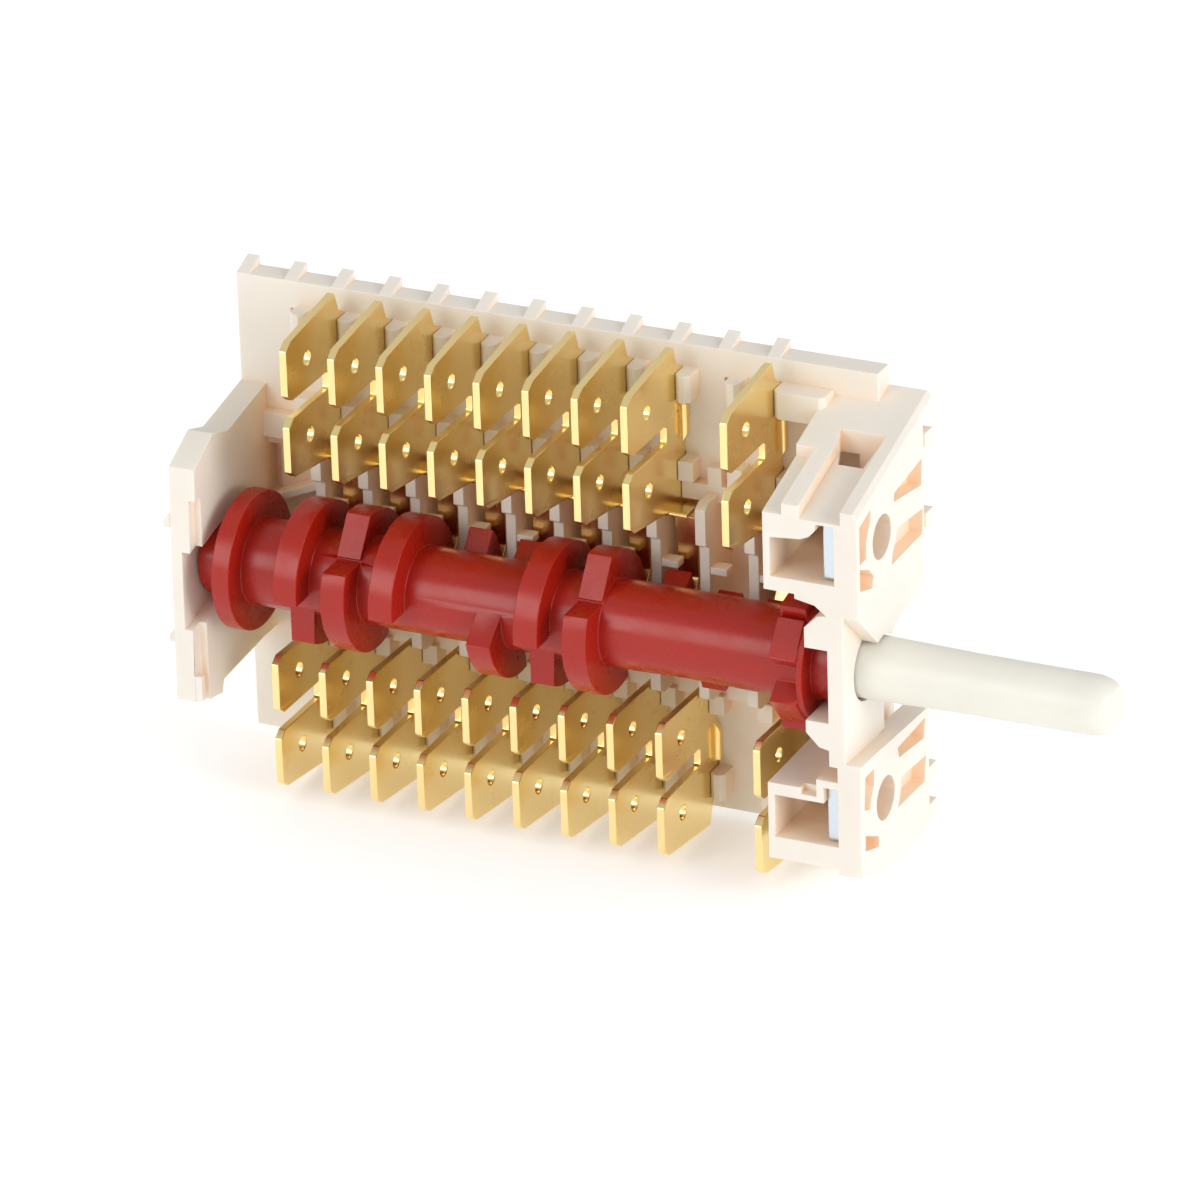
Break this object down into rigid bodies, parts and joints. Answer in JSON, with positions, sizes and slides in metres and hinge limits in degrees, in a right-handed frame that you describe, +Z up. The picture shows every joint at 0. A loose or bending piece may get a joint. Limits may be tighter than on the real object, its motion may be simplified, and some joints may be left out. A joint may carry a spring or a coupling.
{
  "type": "oven selector switch",
  "caption": "Rotary selector switch for an oven: a turning cam shaft presses springs that join tab terminals in two banks on an open moulded frame.",
  "frame": {"origin": "where the spindle axis meets the plane of the head's mounting pads, midway between the two mounting holes", "axes": "+X along the spindle towards the knob, +Y from the open front to the back plate, +Z up from the lower mounting hole to the upper one"},
  "size_m": [0.0989, 0.02, 0.052],
  "materials": {
    "cream_plastic": "satin moulded",
    "red_plastic": "satin moulded",
    "ivory_plastic": "satin moulded",
    "zinc_steel": "zinc plated",
    "terminal_brass": "polished",
    "spring_brass": "rolled strip",
    "spring_steel": "rolled strip"
  },
  "bodies": {
    "frame_body": {"body_frame": "cream_plastic", "lower_terminal_1": "terminal_brass", "lower_terminal_11": "terminal_brass", "lower_terminal_2": "terminal_brass", "lower_terminal_3": "terminal_brass", "lower_terminal_4": "terminal_brass", "lower_terminal_5": "terminal_brass", "lower_terminal_6": "terminal_brass", "lower_terminal_7": "terminal_brass", "lower_terminal_8": "terminal_brass", "lower_terminal_9": "terminal_brass", "nut_plate_lower": "zinc_steel", "nut_plate_upper": "zinc_steel", "upper_terminal_1": "terminal_brass", "upper_terminal_10": "terminal_brass", "upper_terminal_2": "terminal_brass", "upper_terminal_3": "terminal_brass", "upper_terminal_4": "terminal_brass", "upper_terminal_5": "terminal_brass", "upper_terminal_6": "terminal_brass", "upper_terminal_7": "terminal_brass", "upper_terminal_8": "terminal_brass"},
    "rotor": {"camshaft": "red_plastic", "spindle": "ivory_plastic"},
    "contact_spring_1_body": {"contact_spring_1": "spring_brass"},
    "contact_spring_10_body": {"contact_spring_10": "spring_brass"},
    "contact_spring_2_body": {"contact_spring_2": "spring_brass"},
    "contact_spring_3_body": {"contact_spring_3": "spring_brass"},
    "contact_spring_4_body": {"contact_spring_4": "spring_brass"},
    "contact_spring_5_body": {"contact_spring_5": "spring_brass"},
    "contact_spring_6_body": {"contact_spring_6": "spring_brass"},
    "contact_spring_7_body": {"contact_spring_7": "spring_brass"},
    "contact_spring_8_body": {"contact_spring_8": "spring_brass"},
    "detent_spring_body": {"detent_spring": "spring_steel"}
  },
  "joints": [
    {"name": "spindle_turn", "type": "hinge", "parent": "frame_body", "child": "rotor", "pos_m": [0, 0, 0], "axis": [1, 0, 0], "continuous": true},
    {"name": "contact_spring_1_flex", "type": "hinge", "parent": "frame_body", "child": "contact_spring_1_body", "pos_m": [-0.06125, 0.00865, 0.0067], "axis": [1, 0, 0], "range_deg": [0, 2.3], "stiffness_Nm_per_rad": 0.02},
    {"name": "contact_spring_10_flex", "type": "hinge", "parent": "frame_body", "child": "contact_spring_10_body", "pos_m": [-0.014, 0.00865, 0.0067], "axis": [1, 0, 0], "range_deg": [0, 2.3], "stiffness_Nm_per_rad": 0.02},
    {"name": "contact_spring_2_flex", "type": "hinge", "parent": "frame_body", "child": "contact_spring_2_body", "pos_m": [-0.056, 0.00865, 0.0067], "axis": [1, 0, 0], "range_deg": [0, 2.3], "stiffness_Nm_per_rad": 0.02},
    {"name": "contact_spring_3_flex", "type": "hinge", "parent": "frame_body", "child": "contact_spring_3_body", "pos_m": [-0.05075, 0.00865, 0.0067], "axis": [1, 0, 0], "range_deg": [0, 2.3], "stiffness_Nm_per_rad": 0.02},
    {"name": "contact_spring_4_flex", "type": "hinge", "parent": "frame_body", "child": "contact_spring_4_body", "pos_m": [-0.0455, 0.00865, 0.0067], "axis": [1, 0, 0], "range_deg": [0, 2.3], "stiffness_Nm_per_rad": 0.02},
    {"name": "contact_spring_5_flex", "type": "hinge", "parent": "frame_body", "child": "contact_spring_5_body", "pos_m": [-0.04025, 0.00865, 0.0067], "axis": [1, 0, 0], "range_deg": [0, 2.3], "stiffness_Nm_per_rad": 0.02},
    {"name": "contact_spring_6_flex", "type": "hinge", "parent": "frame_body", "child": "contact_spring_6_body", "pos_m": [-0.035, 0.00865, 0.0067], "axis": [1, 0, 0], "range_deg": [0, 2.3], "stiffness_Nm_per_rad": 0.02},
    {"name": "contact_spring_7_flex", "type": "hinge", "parent": "frame_body", "child": "contact_spring_7_body", "pos_m": [-0.02975, 0.00865, 0.0067], "axis": [1, 0, 0], "range_deg": [0, 2.3], "stiffness_Nm_per_rad": 0.02},
    {"name": "contact_spring_8_flex", "type": "hinge", "parent": "frame_body", "child": "contact_spring_8_body", "pos_m": [-0.0245, 0.00865, 0.0067], "axis": [1, 0, 0], "range_deg": [0, 2.3], "stiffness_Nm_per_rad": 0.02},
    {"name": "detent_spring_flex", "type": "hinge", "parent": "frame_body", "child": "detent_spring_body", "pos_m": [-0.0081, 0.00865, 0.0067], "axis": [1, 0, 0], "range_deg": [0, 2.3], "stiffness_Nm_per_rad": 0.02}
  ]
}
